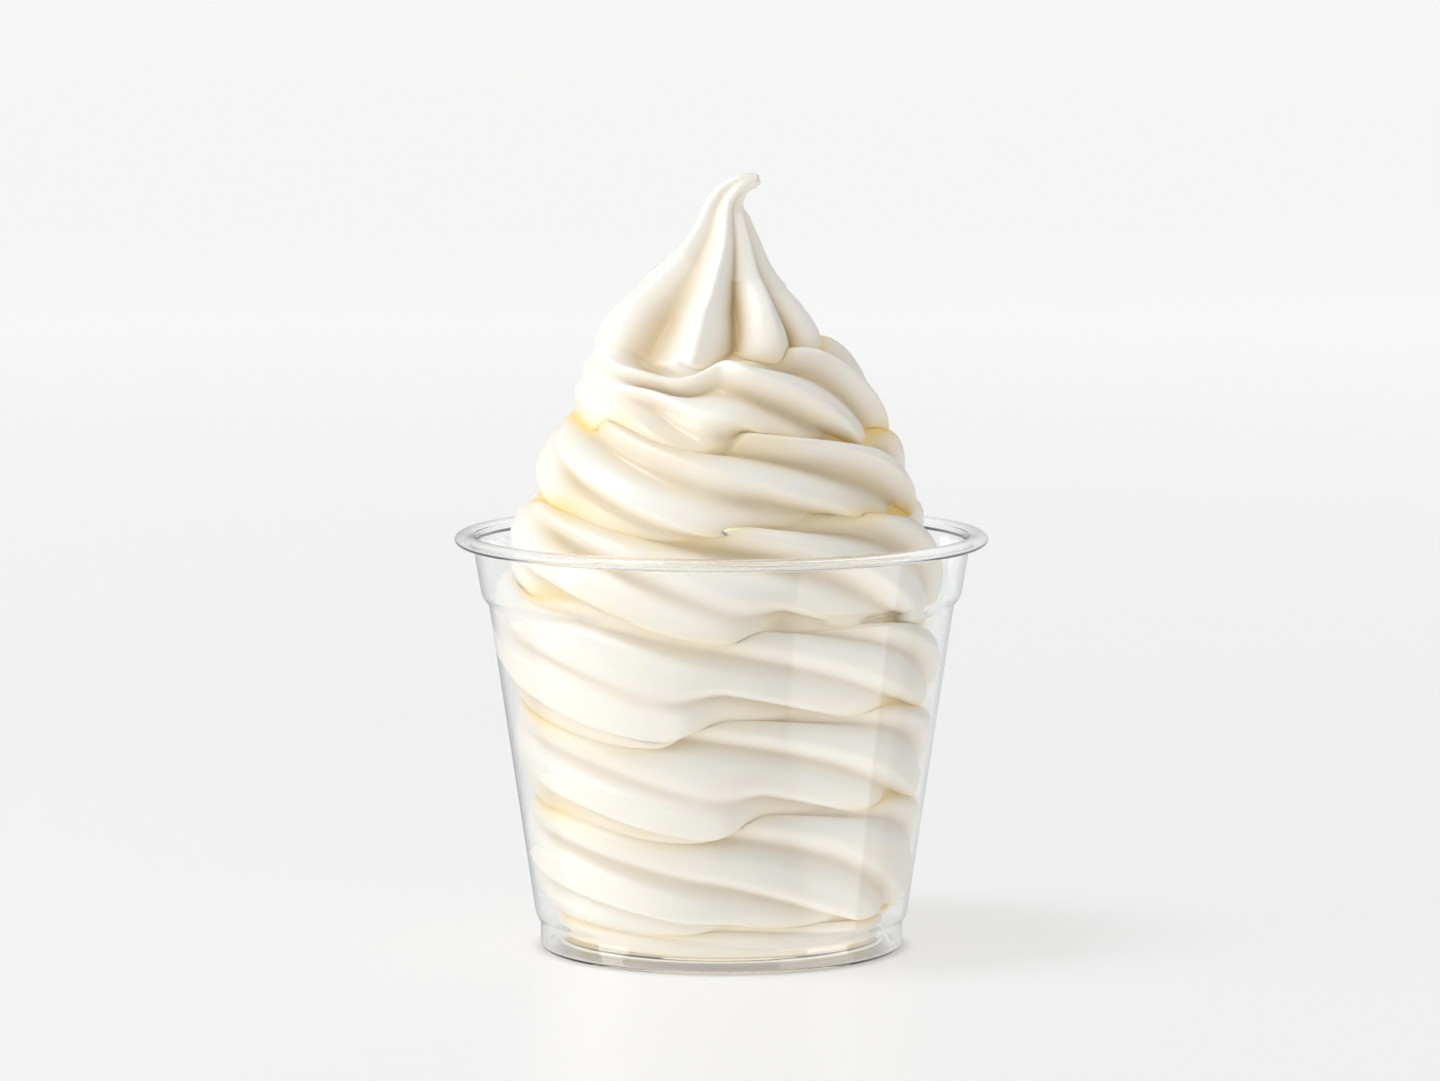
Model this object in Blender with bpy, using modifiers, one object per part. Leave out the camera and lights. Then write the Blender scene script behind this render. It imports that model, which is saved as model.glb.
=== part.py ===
"""A clear plastic cup filled with a tall swirl of vanilla soft-serve ice cream.

Blender 4.5 script. Metres, +Z up, the origin on the table at the centre of the
cup's foot. X runs to the right and the front of the cup faces -Y.

The cup is one turned shell: a small standing foot, a tapered wall, a shoulder
that widens the wall for stacking, and a rolled rim.

The ice cream is one solid. It is a ridged rope, laid round and round from the
floor up and pulled off into a curled peak. A place along the rope is counted in
turns from the front (1.0 front, 1.25 right, 1.5 back, 1.75 left, 2.0 front),
from the peak down to the floor. The lines where one turn rests on the next are
given at the four sides. Between two lines a turn bulges out, and the ridges of
the nozzle run across it from its top line to its bottom line.
"""

import math

import bpy
import numpy as np

MM = 0.001

# ---------------------------------------------------------------- driving dimensions (mm)
# the cup, outside
CUP_HEIGHT = 76.8
RIM_RADIUS = 49.0
RIM_WIDTH = 3.8
RIM_DEPTH = 2.4
NECK_RADIUS = 45.4
NECK_BOTTOM = 65.4
SHOULDER_RADIUS = 44.1
TAPER_TOP = 63.6
TAPER_TOP_RADIUS = 42.75
TAPER_BOTTOM = 6.3
TAPER_BOTTOM_RADIUS = 34.3
FOOT_TOP = 4.8
FOOT_RADIUS = 33.4
FOOT_CORNER = 0.8
STAND_WIDTH = 1.0
FLOOR_RADIUS = 30.6
FLOOR_LIFT = 2.2
SHEET = 0.6

# the ice cream
GAP = 0.3
SWIRL_BOTTOM = FLOOR_LIFT + SHEET + GAP
RIDGES_PER_TURN = 8
RIDGE_DEPTH = 2.8
RIDGE_DEPTH_ON_PEAK = 3.9
RIDGE_DEPTH_IN_CUP = 2.2
BEND_FROM = 135.2
BEND_RADIUS = 6.0
SWIRL_TRIANGLES = 9000

# the peak: turn, radius and height of the line the rope follows to the tip
PEAK = (
    (-3.00, 0.25, 145.2),
    (-2.50, 0.9, 144.4),
    (-2.00, 1.2, 143.0),
    (-1.50, 1.8, 140.5),
    (-1.00, 2.9, 137.4),
    (-0.50, 5.2, 132.6),
    (0.00, 9.0, 125.0),
    (0.25, 11.8, 120.6),
    (0.50, 14.2, 117.0),
    (0.75, 21.2, 113.4),
)

# each line between two turns: radius and height at the front, right, back and left
REST_LINES = (
    ((17.0, 108.6), (16.6, 109.8), (20.0, 105.5), (23.0, 97.2)),
    ((25.2, 96.6), (27.2, 96.0), (28.4, 91.0), (32.0, 82.0)),
    ((31.4, 81.0), (32.4, 80.6), (33.4, 75.5), (35.4, 67.4)),
    ((34.2, 64.6), (35.2, 60.4), (35.2, 54.0), (33.0, 47.2)),
    ((33.6, 47.2), (35.2, 46.0), (33.6, 37.0), (31.2, 27.6)),
    ((31.0, 29.2), (32.6, 29.0), (31.0, 19.0), (29.2, 8.4)),
    ((29.0, 8.4), (29.8, 7.9), (29.2, 4.8), (28.4, 3.4)),
)
FOOT_OF_SWIRL = ((27.4, SWIRL_BOTTOM), (25.4, SWIRL_BOTTOM))

# a ridge that ends as a lobe hanging over the turn below: turn, drop (mm)
LOBES = ((1.975, 3.2), (2.985, 2.4), (4.0, 4.0), (4.95, 5.2), (5.985, 5.2), (6.96, 3.0))

# how far the swirl's own axis leans to the right of the cup's, by height (mm)
LEAN_HEIGHTS = (96.0, 106.0, 112.0, 118.0, 124.0, 130.0, 137.0)
LEAN = (0.0, -0.6, -1.2, -1.5, -0.9, 0.0, 0.5)

COLOURS = {
    "cup": ((0.86, 0.88, 0.89, 1.0), 0.06, 0.0),
    "soft_serve": ((0.93, 0.87, 0.74, 1.0), 0.45, 0.0),
}


# ---------------------------------------------------------------- scene helpers
def clear_scene():
    for old in list(bpy.data.objects):
        bpy.data.objects.remove(old, do_unlink=True)


def material(name):
    colour, roughness, metallic = COLOURS[name]
    made = bpy.data.materials.new(name)
    made.use_nodes = True
    shader = made.node_tree.nodes["Principled BSDF"]
    shader.inputs["Base Color"].default_value = colour
    shader.inputs["Roughness"].default_value = roughness
    shader.inputs["Metallic"].default_value = metallic
    return made


def add_piece(name, mesh, collection):
    piece = bpy.data.objects.new(name, mesh)
    collection.objects.link(piece)
    mesh.materials.append(material(name))
    return piece


# ---------------------------------------------------------------- the cup
def arc(centre, radii, start, stop, steps):
    """Points on an ellipse about centre, from angle start to stop in degrees."""
    points = []
    for i in range(steps + 1):
        angle = math.radians(start + (stop - start) * i / steps)
        points.append((centre[0] + radii[0] * math.cos(angle), centre[1] + radii[1] * math.sin(angle)))
    return points


def cup_outline():
    """Half section: up the inside from the floor's centre, over the rim, down the outside."""
    floor_top = FLOOR_LIFT + SHEET
    inside_foot = FOOT_RADIUS - SHEET
    rim = (RIM_RADIUS - RIM_WIDTH / 2, CUP_HEIGHT - RIM_DEPTH / 2)
    rim_half = (RIM_WIDTH / 2, RIM_DEPTH / 2)
    outline = [(0.0, floor_top), (inside_foot - 1.6, floor_top)]
    outline += arc((inside_foot - 1.2, floor_top + 1.2), (1.2, 1.2), -60, 0, 2)
    outline += [
        (inside_foot, FOOT_TOP),
        (TAPER_BOTTOM_RADIUS - SHEET, TAPER_BOTTOM),
        (TAPER_TOP_RADIUS - SHEET, TAPER_TOP),
        (SHOULDER_RADIUS - SHEET, NECK_BOTTOM),
        (NECK_RADIUS - SHEET, rim[1] - RIM_DEPTH),
    ]
    outline += arc(rim, rim_half, 180, -135, 14)
    outline += [
        (NECK_RADIUS, rim[1] - RIM_DEPTH),
        (SHOULDER_RADIUS, NECK_BOTTOM),
        (TAPER_TOP_RADIUS, TAPER_TOP),
        (TAPER_BOTTOM_RADIUS, TAPER_BOTTOM),
        (FOOT_RADIUS, FOOT_TOP),
    ]
    corner = (FOOT_RADIUS - FOOT_CORNER, FOOT_CORNER)
    outline += arc(corner, (FOOT_CORNER, FOOT_CORNER), 0, -90, 3)
    stand_inner = FOOT_RADIUS - FOOT_CORNER - STAND_WIDTH
    outline += [(stand_inner, 0.0), (FLOOR_RADIUS, FLOOR_LIFT), (0.0, FLOOR_LIFT)]
    return outline


def build_cup(collection):
    points = cup_outline()
    mesh = bpy.data.meshes.new("cup")
    mesh.from_pydata([(r * MM, 0.0, z * MM) for r, z in points], [(i, i + 1) for i in range(len(points) - 1)], [])
    cup = add_piece("cup", mesh, collection)
    turned = cup.modifiers.new("turned", "SCREW")
    turned.steps = 64
    turned.render_steps = 64
    turned.use_merge_vertices = True
    turned.merge_threshold = 0.00001
    return cup


# ---------------------------------------------------------------- the rope's path
def path_stations():
    """Turn, radius and height of every station of the line between turns."""
    rows = [list(station) for station in PEAK]
    for number, sides in enumerate(REST_LINES, start=1):
        for quarter, (radius, height) in enumerate(sides):
            rows.append([number + quarter / 4, radius, height])
    for half, (radius, height) in enumerate(FOOT_OF_SWIRL):
        rows.append([8.0 + half, radius, height])
    return np.array(rows)


STATIONS = path_stations()


def through(x, known_x, known_y):
    """Smooth curve through the known points that never swings past them."""
    step = np.diff(known_x)
    slope = np.diff(known_y) / step
    tangent = np.zeros_like(known_y)
    before, after = slope[:-1], slope[1:]
    same_way = before * after > 0
    tangent[1:-1][same_way] = (2 * before * after)[same_way] / (before + after)[same_way]
    tangent[0], tangent[-1] = slope[0], slope[-1]
    i = np.clip(np.searchsorted(known_x, x) - 1, 0, len(known_x) - 2)
    t = (x - known_x[i]) / step[i]
    start = (2 * t**3 - 3 * t**2 + 1) * known_y[i] + (t**3 - 2 * t**2 + t) * step[i] * tangent[i]
    end = (3 * t**2 - 2 * t**3) * known_y[i + 1] + (t**3 - t**2) * step[i] * tangent[i + 1]
    return start + end


def rest_line(turn):
    """Radius and height of the line between turns."""
    radius = through(turn, STATIONS[:, 0], STATIONS[:, 1])
    height = through(turn, STATIONS[:, 0], STATIONS[:, 2])
    return np.stack([radius, height], axis=-1)


def ease(start, stop, x):
    """0 before start, 1 after stop, smooth between."""
    t = np.clip((x - start) / (stop - start), 0, 1)
    return t * t * (3 - 2 * t)


def degrees_from(turn, azimuth):
    """Signed angle from an azimuth (0 front, 90 right) to a place on the rope."""
    return (turn * 360 - azimuth + 180) % 360 - 180


def opened(turn):
    """The crevice opens at the front left, under the peak: 0 closed, 1 open."""
    return ease(0.93, 1.04, turn)


def inner_wall(height):
    """Inside radius of the cup's tapered wall."""
    rise = (TAPER_TOP_RADIUS - TAPER_BOTTOM_RADIUS) / (TAPER_TOP - TAPER_BOTTOM)
    return TAPER_BOTTOM_RADIUS - SHEET + (height - TAPER_BOTTOM) * rise


# ---------------------------------------------------------------- the nozzle's ridges
def ridge_profile(count):
    """1 on a crest, where count is whole, and 0 in the middle of a flute."""
    soft = 0.08
    across = np.sqrt(np.sin(np.pi * count) ** 2 + soft**2) - soft
    return 1 - across / (math.sqrt(1 + soft**2) - soft)


def ridges_at_top(turn):
    """Ridges passed along a turn's top line. They lie a little wider inside the cup."""
    wider = 0.3 * np.log1p(np.exp(np.clip((turn - 3.4) * 4, -40, 40)))
    return RIDGES_PER_TURN * turn - wider - 0.3 * np.sin(turn * 2 * np.pi) + 1.62


def ridges_at_bottom(turn):
    """Ridges passed along a turn's bottom line, closest together at the front right."""
    wider = 0.3 * np.log1p(np.exp(np.clip((turn - 3.4) * 4, -40, 40)))
    flatter = 0.55 * ease(2.6, 3.8, turn)
    return RIDGES_PER_TURN * turn - wider - 0.7 * np.cos(turn * 2 * np.pi + 0.35) - 0.29 - flatter


def ridges_on_coil(turn, down):
    """Ridge count on a turn, down from 0 on its top line to 1 on its bottom line."""
    top, bottom = ridges_at_top(turn), ridges_at_bottom(turn)
    crowding = 1.1 - 0.3 * np.sin(turn * 2 * np.pi)
    return top - (top - bottom) * np.sign(down) * np.abs(down) ** crowding


def ridges_on_peak(turn, height):
    """Ridge count on the peak, whose ridges lean to the left on their way down."""
    angle = degrees_from(turn, 0)
    from_ridge = angle + 12 - (np.clip(height, 96, 142) - 110) * 0.85
    broad_left = 0.35 * ease(0, -60, from_ridge) * ease(-180, -90, from_ridge)
    return from_ridge / 45 * (1 - broad_left) + RIDGES_PER_TURN * np.round(turn - angle / 360)


def ridge_count(turn, down, height):
    on_coil = ridges_on_coil(turn, down)
    handed_over = ease(0.35, 1.0, turn + 0.3 * down)
    blended = ridges_on_peak(turn, height) * (1 - handed_over) + on_coil * handed_over
    return np.where(turn > 1.0, on_coil, blended)


# ---------------------------------------------------------------- outline of one turn
def unit(vectors):
    return vectors / np.maximum(np.linalg.norm(vectors, axis=-1, keepdims=True), 1e-9)


def outline(turn, down):
    """Radius and height of points on the turn that starts at each place of the rope.

    turn has one value a column; down has a row of values for each column, 0 on the
    turn's top line and 1 on its bottom line, and may run a little past both.
    """
    turns = turn[:, None] + 0 * down
    top, bottom = rest_line(turn), rest_line(turn + 1)
    chord = bottom - top
    length = np.linalg.norm(chord, axis=1)[:, None]
    along = unit(chord)
    out = np.stack([-along[:, 1], along[:, 0]], axis=-1)
    left = ease(100, 30, np.abs(degrees_from(turn, -80)))[:, None]
    bulge = (0.27 + 0.10 * left) * length * (1 - 0.15 * ease(70, 50, top[:, 1:]))
    bulge *= ease(SWIRL_BOTTOM + 0.3, SWIRL_BOTTOM + 6, top[:, 1:])
    up_and_out = unit(out - along * (0.35 + 0.45 * left))
    closed_slope = [unit(rest_line(t + 0.5) - rest_line(t - 0.5)) * length / 3 for t in (turn, turn + 1)]
    open_top, open_bottom = opened(turn)[:, None], opened(turn + 1)[:, None]
    lead = (1 - open_top) * closed_slope[0] + open_top * up_and_out * bulge * (1.4 + 0.33 * left)
    trail = -(1 - open_bottom) * closed_slope[1] + open_bottom * out * bulge * 1.33

    # a cubic curve from the top line to the bottom line, and its outward direction
    a, b, c, d = top[:, None], (top + lead)[:, None], (bottom + trail)[:, None], bottom[:, None]
    t = down[..., None]
    points = (1 - t) ** 3 * a + 3 * (1 - t) ** 2 * t * b + 3 * (1 - t) * t**2 * c + t**3 * d
    heading = unit((1 - t) ** 2 * (b - a) + 2 * (1 - t) * t * (c - b) + t**2 * (d - c))
    outward = np.stack([-heading[..., 1], heading[..., 0]], axis=-1)

    # the ridges, calm at the left where a turn starts to climb
    height = points[..., 1]
    count = ridge_count(turns, down, height)
    calm = 1 - 0.8 * ease(48, 22, np.abs(degrees_from(turns, -96))) * ease(134, 124, height)
    depths = (RIDGE_DEPTH_IN_CUP, RIDGE_DEPTH, RIDGE_DEPTH, RIDGE_DEPTH_ON_PEAK)
    deep = np.minimum(points[..., 0] * 0.32, np.interp(height, (62, 78, 106, 112), depths))
    deep *= 1 + 0.12 * np.sin(2.1 * count + 1)
    deep *= ease(SWIRL_BOTTOM + 0.3, SWIRL_BOTTOM + 5, height) * calm
    points = points + outward * (deep * (ridge_profile(count) - 0.5))[..., None]

    # lobes that hang over the turn below
    for lobe_turn, drop in LOBES:
        past = (turns + 1 - lobe_turn) * 360
        swell = np.where(past < 0, np.clip(1 + past / 60, 0, 1) ** 1.6, ease(15, 0, past))
        points = points + (swell * ease(0.45, 1.0, down))[..., None] * np.array([0.45, -1.0]) * drop
    return points


def crossing(turn):
    """Where the turn above and the turn below each line meet, as down on each of them."""
    upper_down = np.linspace(0.62, 1.36, 84)
    lower_down = np.linspace(-0.36, 0.55, 84)
    upper = outline(turn - 1, np.tile(upper_down, (len(turn), 1)))
    lower = outline(turn, np.tile(lower_down, (len(turn), 1)))
    p, r = upper[:, :-1, None], np.diff(upper, axis=1)[:, :, None]
    q, e = lower[:, None, :-1], np.diff(lower, axis=1)[:, None]
    cross = r[..., 0] * e[..., 1] - r[..., 1] * e[..., 0]
    cross = np.where(np.abs(cross) < 1e-12, 1e-12, cross)
    apart = q - p
    on_upper = (apart[..., 0] * e[..., 1] - apart[..., 1] * e[..., 0]) / cross
    on_lower = (apart[..., 0] * r[..., 1] - apart[..., 1] * r[..., 0]) / cross
    meets = (on_upper >= 0) & (on_upper <= 1) & (on_lower >= 0) & (on_lower <= 1)
    reach = np.where(meets, p[..., 0] + on_upper * r[..., 0], -1)
    column = np.arange(len(turn))
    i, j = np.unravel_index(reach.reshape(len(turn), -1).argmax(axis=1), reach.shape[1:])
    found = meets[column, i, j]
    above = upper_down[i] + on_upper[column, i, j] * (upper_down[1] - upper_down[0])
    below = lower_down[j] + on_lower[column, i, j] * (lower_down[1] - lower_down[0])
    return smoothed(np.where(found, above, 1.0)), smoothed(np.where(found, below, 0.0))


def smoothed(values):
    weights = np.array([1.0, 3.0, 5.0, 6.0, 5.0, 3.0, 1.0])
    return np.convolve(np.pad(values, 3, mode="edge"), weights / weights.sum(), "valid")


def pressed(points):
    """The cup's wall flattens what would reach it."""
    limit = inner_wall(points[..., 1]) - GAP
    give = 0.8
    past = np.maximum(points[..., 0] - (limit - give), 0)
    flattened = limit - give * np.exp(-past / give)
    beside_wall = (past > 0) & (points[..., 1] < TAPER_TOP + 0.4)
    return np.stack([np.where(beside_wall, flattened, points[..., 0]), points[..., 1]], axis=-1)


def placed(turns, points):
    """Radius and height round the swirl's axis, which leans and curls over at the tip."""
    angle = turns * 2 * np.pi
    radius, height = points[..., 0], points[..., 1]
    side, y = radius * np.sin(angle), -radius * np.cos(angle)
    bend = np.maximum(height - BEND_FROM, 0) / BEND_RADIUS
    x = np.interp(height, LEAN_HEIGHTS, LEAN) + BEND_RADIUS * (1 - np.cos(bend)) + side * np.cos(bend)
    z = np.minimum(height, BEND_FROM) + BEND_RADIUS * np.sin(bend) - side * np.sin(bend)
    return np.stack([x, y, z], axis=-1)


# ---------------------------------------------------------------- the ice cream's mesh
def swirl_mesh(columns_a_turn, rows, first_turn=-3.0, last_turn=8.0):
    """One closed skin, wound from the tip to the foot, each turn sewn to the next."""
    columns = int(round((last_turn - first_turn) * columns_a_turn)) + 1
    turn = first_turn + np.arange(columns + columns_a_turn) / columns_a_turn
    above, below = crossing(turn)
    above = 1 + (above - 1) * opened(turn)
    below = below * opened(turn)
    share = np.linspace(0, 1, rows + 1)
    down = below[:columns, None] * (1 - share) + above[columns_a_turn:, None] * share
    turns = turn[:columns, None] + 0 * down
    skin = placed(turns, pressed(outline(turn[:columns], down)))
    later = np.arange(columns_a_turn, columns)
    skin[later, 0] = (skin[later, 0] + skin[later - columns_a_turn, rows]) / 2

    index = np.arange(columns * rows).reshape(columns, rows)
    corners = list(skin[:, :rows].reshape(-1, 3) * MM)

    def corner(column, row):
        return index[column, row] if row < rows else index[column + columns_a_turn, 0]

    faces = []
    for column in range(columns - 1):
        for row in range(rows):
            if row == rows - 1 and column + 1 + columns_a_turn > columns - 1:
                continue
            ring = (column, row), (column, row + 1), (column + 1, row + 1), (column + 1, row)
            faces.append([corner(*place) for place in ring])

    tip = [index[column, 0] for column in range(columns_a_turn)]
    tip += [corner(0, row) for row in range(rows, 0, -1)]
    corners.append(np.mean([corners[i] for i in tip], axis=0))
    for i, start in enumerate(tip):
        faces.append([len(corners) - 1, start, tip[(i + 1) % len(tip)]])

    last = columns - 1
    foot = [index[last, 0]] + [index[column, rows - 1] for column in range(last - columns_a_turn + 1, columns)]
    foot += [index[last, row] for row in range(rows - 2, 0, -1)]
    faces.append([index[last - columns_a_turn, rows - 1], foot[0], foot[1]])
    centre = np.mean([corners[i] for i in foot], axis=0)
    corners.append(np.array([centre[0], centre[1], SWIRL_BOTTOM * MM]))
    for i, start in enumerate(foot):
        faces.append([len(corners) - 1, foot[(i + 1) % len(foot)], start])
    return [tuple(point) for point in corners], faces


def build_soft_serve(collection):
    corners, faces = swirl_mesh(144, 26)
    mesh = bpy.data.meshes.new("soft_serve")
    mesh.from_pydata(corners, [], faces)
    mesh.update()
    swirl = add_piece("soft_serve", mesh, collection)
    halves = swirl.modifiers.new("triangles", "TRIANGULATE")
    halves.min_vertices = 4
    triangles = sum(len(face) - 2 for face in faces)
    fewer = swirl.modifiers.new("fewer", "DECIMATE")
    fewer.ratio = SWIRL_TRIANGLES / triangles
    return swirl


def main():
    clear_scene()
    collection = bpy.data.collections.new("cup_of_ice_cream")
    bpy.context.scene.collection.children.link(collection)
    build_cup(collection)
    build_soft_serve(collection)


main()
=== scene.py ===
# %% [markdown]
# # A cup of vanilla soft serve
#
# Soft serve comes out of a machine through a star-shaped nozzle, as a soft rope with
# ridges along it. The cup turns under the nozzle, so the rope lies down in rings, and
# the last bit is pulled off into a curled tip. This lesson builds that swirl as one
# clean mesh, turns a thin clear cup round it, and lights both like a product photo.
#
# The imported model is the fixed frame: it says where each piece is and how big it is.
# Our pieces stand for its plain solids, so the first step is to load it.

# %% Load the frame
import math

import bpy
import numpy as np
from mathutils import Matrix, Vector


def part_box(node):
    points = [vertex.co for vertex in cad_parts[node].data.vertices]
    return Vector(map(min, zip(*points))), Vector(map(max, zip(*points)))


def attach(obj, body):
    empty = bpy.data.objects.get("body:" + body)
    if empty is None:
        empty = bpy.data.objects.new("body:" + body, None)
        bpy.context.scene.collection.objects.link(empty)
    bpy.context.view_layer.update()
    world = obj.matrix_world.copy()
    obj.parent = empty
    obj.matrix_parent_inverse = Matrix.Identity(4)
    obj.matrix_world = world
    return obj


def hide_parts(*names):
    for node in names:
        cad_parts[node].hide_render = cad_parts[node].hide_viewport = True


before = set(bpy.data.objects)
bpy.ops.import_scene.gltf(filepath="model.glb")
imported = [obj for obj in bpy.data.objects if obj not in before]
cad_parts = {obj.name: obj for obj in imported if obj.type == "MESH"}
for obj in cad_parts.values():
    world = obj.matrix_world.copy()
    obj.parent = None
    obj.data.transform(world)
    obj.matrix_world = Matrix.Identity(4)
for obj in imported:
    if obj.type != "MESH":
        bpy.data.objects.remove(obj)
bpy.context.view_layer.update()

MM = 0.001
cup_low, cup_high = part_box("cup")
swirl_low, swirl_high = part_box("soft_serve")
print("cup from", round(cup_low.z / MM, 1), "to", round(cup_high.z / MM, 1), "mm")
print("swirl from", round(swirl_low.z / MM, 1), "to", round(swirl_high.z / MM, 1), "mm")

# %% [markdown]
# ## The camera
# The photo was taken with a long lens from just above the rim, so the rim is a thin
# ellipse. A long lens far away is the way to keep the cup from looking wide at the top.
# The camera looks at a point on the cup's axis just under the rim, tilted down a little.

# %% Camera
IMAGE_WIDTH = 1440
AXIS_RIGHT_OF_MIDDLE = 1.4
LENS = 156.4
LOOK_DOWN = math.radians(6.1)
CAMERA_DISTANCE = 1.150
AIM_UNDER_RIM = 1.7

camera_data = bpy.data.cameras.new("photo_camera")
camera_data.sensor_width = 36.0
camera_data.lens = LENS
camera_data.shift_x = -AXIS_RIGHT_OF_MIDDLE / IMAGE_WIDTH
camera = bpy.data.objects.new("photo_camera", camera_data)
bpy.context.scene.collection.objects.link(camera)
bpy.context.scene.camera = camera

look_at = Vector((0, 0, cup_high.z - AIM_UNDER_RIM * MM))
back_and_up = Vector((0, -math.cos(LOOK_DOWN), math.sin(LOOK_DOWN)))
camera.location = look_at + back_and_up * CAMERA_DISTANCE
camera.rotation_euler = (math.radians(90) - LOOK_DOWN, 0, 0)
print("camera at", [round(x, 3) for x in camera.location])

# %% [markdown]
# ## Two small helpers
# Every piece starts as a list of corners and faces and becomes an object, and a small
# helper does that the same way each time. The swirl and the cup are later hung on the
# model's only body. The other helper makes an empty material and hands back its node
# tree, ready for nodes.

# %% Helpers
def add_piece(name, corners, faces):
    mesh = bpy.data.meshes.new(name)
    mesh.from_pydata(corners, [], faces)
    mesh.validate()
    mesh.shade_smooth()
    piece = bpy.data.objects.new(name, mesh)
    bpy.context.scene.collection.objects.link(piece)
    print(name, len(mesh.vertices), "corners", len(mesh.polygons), "faces")
    return piece


def new_material(name):
    material = bpy.data.materials.new(name)
    material.use_nodes = True
    tree = material.node_tree
    tree.nodes.clear()
    output = tree.nodes.new("ShaderNodeOutputMaterial")
    return material, tree, output


# %% [markdown]
# ## The cup's section
# The real cup is one thin sheet of clear plastic, drawn over a mould. So its section is
# a line with a thickness, not a block: a raised floor, a foot ring to stand on, a
# tapered wall, a shoulder where stacked cups rest, and a rim rolled outwards into a
# hollow curl. We write the middle line of the sheet and thicken it. The curl is what
# gives a clear cup its bright double line at the top.

# %% Middle line of the cup's sheet
# millimetres; a pair is a radius and a height
SHEET = 0.6
HALF = SHEET / 2
RIM_RADIUS = (cup_high.x - cup_low.x) / 2 / MM
CUP_HEIGHT = cup_high.z / MM
RIM_WIDTH = 3.8
RIM_DEPTH = 2.4
NECK_RADIUS = 45.4
SHOULDER = (44.1, 65.4)
TAPER_TOP = (42.75, 63.6)
TAPER_BOTTOM = (34.3, 6.3)
FOOT_RADIUS = 33.4
FOOT_TOP = 4.8
FLOOR_RADIUS = 30.6
FLOOR_LIFT = 1.8
CURL_FROM, CURL_TO, CURL_STEPS = 165, -118, 22
BEND_IN_SHEET = 0.7


def arc(centre, radii, start, stop, steps):
    """Points on an ellipse about centre, from angle start to stop in degrees."""
    (x, y), (wide, high) = centre, radii
    angles = np.radians(np.linspace(start, stop, steps + 1))
    return [(x + wide * math.cos(a), y + high * math.sin(a)) for a in angles]


def rounded(points, radius, steps=5):
    """The same line with each inner corner cut back and bent round."""
    line = [np.array(p, float) for p in points]
    smooth = [line[0]]
    for before, corner, after in zip(line, line[1:], line[2:]):
        to_before, to_after = before - corner, after - corner
        cut = min(radius, np.linalg.norm(to_before) * 0.45, np.linalg.norm(to_after) * 0.45)
        start = corner + to_before / np.linalg.norm(to_before) * cut
        stop = corner + to_after / np.linalg.norm(to_after) * cut
        for t in np.linspace(0, 1, steps):
            smooth.append((1 - t) ** 2 * start + 2 * t * (1 - t) * corner + t**2 * stop)
    return smooth + [line[-1]]


rim_centre = (RIM_RADIUS - RIM_WIDTH / 2, CUP_HEIGHT - RIM_DEPTH / 2)
curl_radii = (RIM_WIDTH / 2 - HALF, RIM_DEPTH / 2 - HALF)
curl = arc(rim_centre, curl_radii, CURL_FROM, CURL_TO, CURL_STEPS)
wall_line = [
    (0.0, FLOOR_LIFT + HALF),
    (FLOOR_RADIUS - 0.2, FLOOR_LIFT + HALF),
    (FLOOR_RADIUS + 1.0, HALF),
    (FOOT_RADIUS - HALF, HALF),
    (FOOT_RADIUS - HALF, FOOT_TOP),
    (TAPER_BOTTOM[0] - HALF, TAPER_BOTTOM[1]),
    (TAPER_TOP[0] - HALF, TAPER_TOP[1]),
    (SHOULDER[0] - HALF, SHOULDER[1]),
    (NECK_RADIUS - HALF, rim_centre[1] - RIM_DEPTH),
    curl[0],
]
middle_line = np.array(rounded(wall_line, BEND_IN_SHEET)[:-1] + curl)
print("points on the sheet's middle line", len(middle_line))

# %% [markdown]
# ## Turning the section
# Blender's Screw modifier could turn this line, but we want the wall's thickness too,
# and clean smooth normals for the refraction. So we push the line half a sheet to each
# side, join the two into one closed outline, and turn that outline ourselves. Its first
# and last point lie on the axis, and there the ring of points shrinks to one.

# %% Turn the cup
CUP_SEGMENTS = 448


def thickened(line, half):
    """Closed outline of a line with a thickness, starting and ending on the axis."""
    ahead = np.gradient(line, axis=0)
    ahead[0] = (1, 0)
    sideways = np.stack([-ahead[:, 1], ahead[:, 0]], axis=1)
    sideways /= np.linalg.norm(sideways, axis=1)[:, None]
    return np.vstack([line + sideways * half, (line - sideways * half)[::-1]])


def turned(name, outline, segments):
    """A closed body of revolution from an outline that runs from the axis to the axis."""
    inner = outline[1:-1]
    angle = np.arange(segments) * 2 * np.pi / segments
    ring = np.stack([np.cos(angle), np.sin(angle)], axis=1)
    corners = [(0, 0, outline[0][1] * MM), (0, 0, outline[-1][1] * MM)]
    for radius, height in inner:
        corners += [(radius * x * MM, radius * y * MM, height * MM) for x, y in ring]
    faces = []
    last = 2 + (len(inner) - 1) * segments
    for i in range(segments):
        j = (i + 1) % segments
        faces.append((0, 2 + i, 2 + j))
        faces.append((1, last + j, last + i))
        for row in range(len(inner) - 1):
            low, high = 2 + row * segments, 2 + (row + 1) * segments
            faces.append((low + i, high + i, high + j, low + j))
    return add_piece(name, corners, faces)


clear_cup = turned("clear_cup", thickened(middle_line, HALF), CUP_SEGMENTS)

# %% [markdown]
# ## The path of the rope
# A place along the rope is counted in turns: 1.0 is at the front, 1.25 at the right,
# 1.5 at the back and 1.75 at the left, and the next turn lies under the last. The lines
# where one turn rests on the next are given at the four sides, and a smooth curve joins
# them. That is far less to keep than a sculpted mesh, and easy to change. The photo shows
# where the lines lie at the front and at both outlines. At the back, which it doesn't
# show, they are guessed, so that the spiral runs on.

# %% Path
INTO_WALL = 0.1
SWIRL_BOTTOM = FLOOR_LIFT + SHEET - INTO_WALL
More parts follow.
